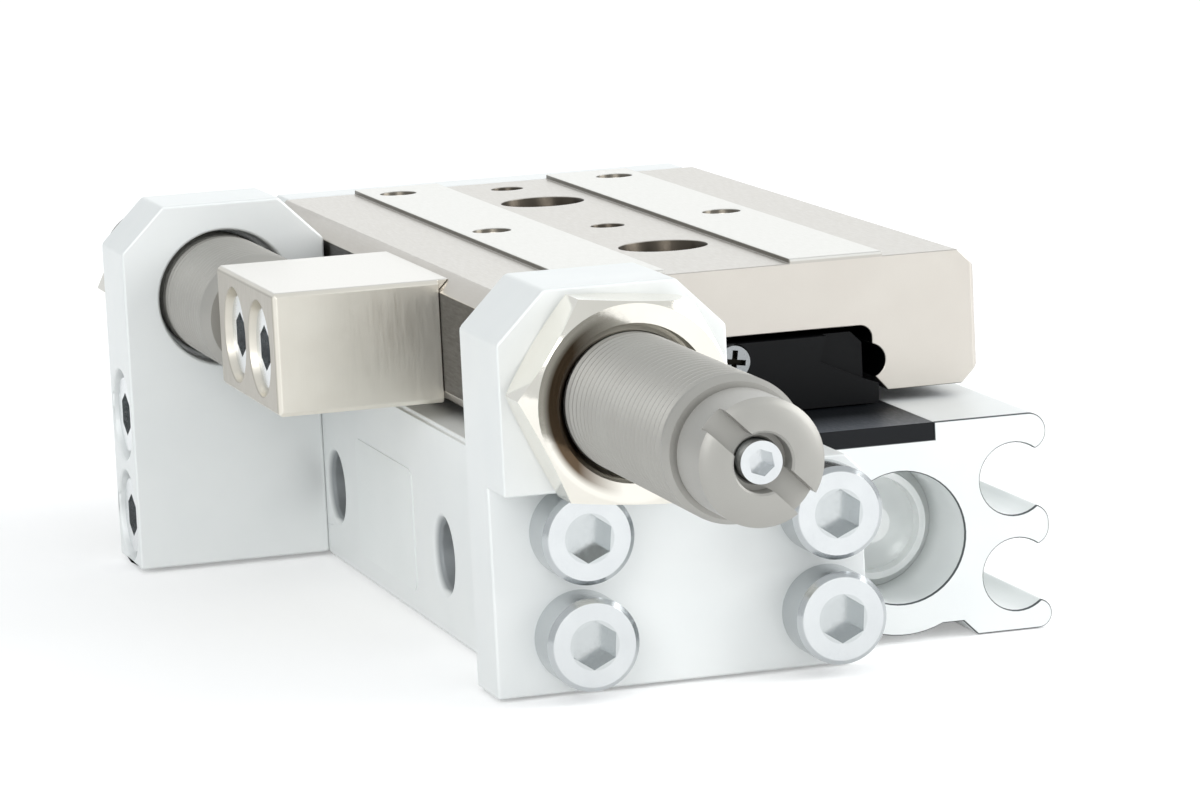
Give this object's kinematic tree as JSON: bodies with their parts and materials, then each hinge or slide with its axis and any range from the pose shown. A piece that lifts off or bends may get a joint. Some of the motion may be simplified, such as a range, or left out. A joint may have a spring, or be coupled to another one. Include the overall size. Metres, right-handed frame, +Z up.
{
  "type": "pneumatic slide table",
  "caption": "Compact twin-piston air cylinder with a ball-guided table on top and a screw-in shock absorber on a bracket at each end of its travel.",
  "frame": {"origin": "centre of the body on its mounting plane, midway between the two tapped mounting holes", "axes": "+X across the body to the side with the switch grooves, +Y the way the table extends, away from the closed head end, +Z up from the mounting face"},
  "size_m": [0.0463, 0.106, 0.0242],
  "materials": {
    "anodised_body": "satin clear anodised, milled",
    "ground_steel": "ground stainless steel",
    "guide_steel": "black oxide on steel",
    "polished_steel": "polished bearing steel",
    "zinc_screws": "bright zinc plated",
    "absorber_nickel": "electroless nickel, satin",
    "nut_nickel": "nickel plated",
    "spring_steel": "drawn spring wire",
    "bronze": "turned bronze",
    "black_plastic": "moulded acetal",
    "seal_rubber": "nitrile rubber",
    "magnet": "plastic bonded ferrite",
    "blank_label": "satin polyester film, nothing printed"
  },
  "bodies": {
    "cylinder": {"body": "anodised_body", "guide_base": "guide_steel", "guide_block": "guide_steel", "near_guide_cover": "black_plastic", "far_guide_cover": "black_plastic", "guide_cover_screws": "zinc_screws", "guide_screws": "zinc_screws", "rod_covers": "anodised_body", "rod_cover_seals": "seal_rubber", "rod_seals": "seal_rubber", "rod_cover_rings": "spring_steel", "head_plugs": "nut_nickel", "near_bracket": "anodised_body", "near_bracket_screws": "zinc_screws", "far_bracket": "anodised_body", "far_bracket_screws": "zinc_screws", "near_absorber_body": "absorber_nickel", "near_absorber_gland": "bronze", "near_absorber_nut": "nut_nickel", "near_absorber_plug": "zinc_screws", "far_absorber_body": "absorber_nickel", "far_absorber_gland": "bronze", "far_absorber_nut": "nut_nickel", "far_absorber_plug": "zinc_screws", "label": "blank_label"},
    "table": {"table": "ground_steel", "stopper_block": "ground_steel", "stopper_screws": "zinc_screws", "end_plate": "anodised_body", "end_plate_screws": "zinc_screws", "piston_rods": "polished_steel", "pistons": "bronze", "piston_seals": "seal_rubber", "piston_magnets": "magnet", "piston_bumpers": "seal_rubber"},
    "load_balls": {"load_balls": "polished_steel"},
    "return_balls": {"return_balls": "polished_steel"},
    "near_rod": {"near_absorber_rod": "polished_steel", "near_absorber_spring": "spring_steel"},
    "far_rod": {"far_absorber_rod": "polished_steel", "far_absorber_spring": "spring_steel"}
  },
  "joints": [
    {"name": "table_slide", "type": "slide", "parent": "cylinder", "child": "table", "axis": [0, 1, 0], "range_m": [-0.008, 0.002]},
    {"name": "near_rod_slide", "type": "slide", "parent": "cylinder", "child": "near_rod", "axis": [0, 1, 0], "range_m": [-0.004, 0.001]},
    {"name": "far_rod_slide", "type": "slide", "parent": "cylinder", "child": "far_rod", "axis": [0, 1, 0], "range_m": [-0.004, 0.001]},
    {"name": "load_ball_travel", "type": "slide", "parent": "cylinder", "child": "load_balls", "axis": [0, 1, 0], "range_m": [-0.004, 0.001]},
    {"name": "return_ball_travel", "type": "slide", "parent": "cylinder", "child": "return_balls", "axis": [0, 1, 0], "range_m": [-0.001, 0.004]}
  ],
  "couplings": [
    {"joint": "near_rod_slide", "follows": "table_slide", "ratio": 0.5},
    {"joint": "far_rod_slide", "follows": "table_slide", "ratio": 0.5},
    {"joint": "load_ball_travel", "follows": "table_slide", "ratio": 0.5},
    {"joint": "return_ball_travel", "follows": "table_slide", "ratio": -0.5}
  ]
}
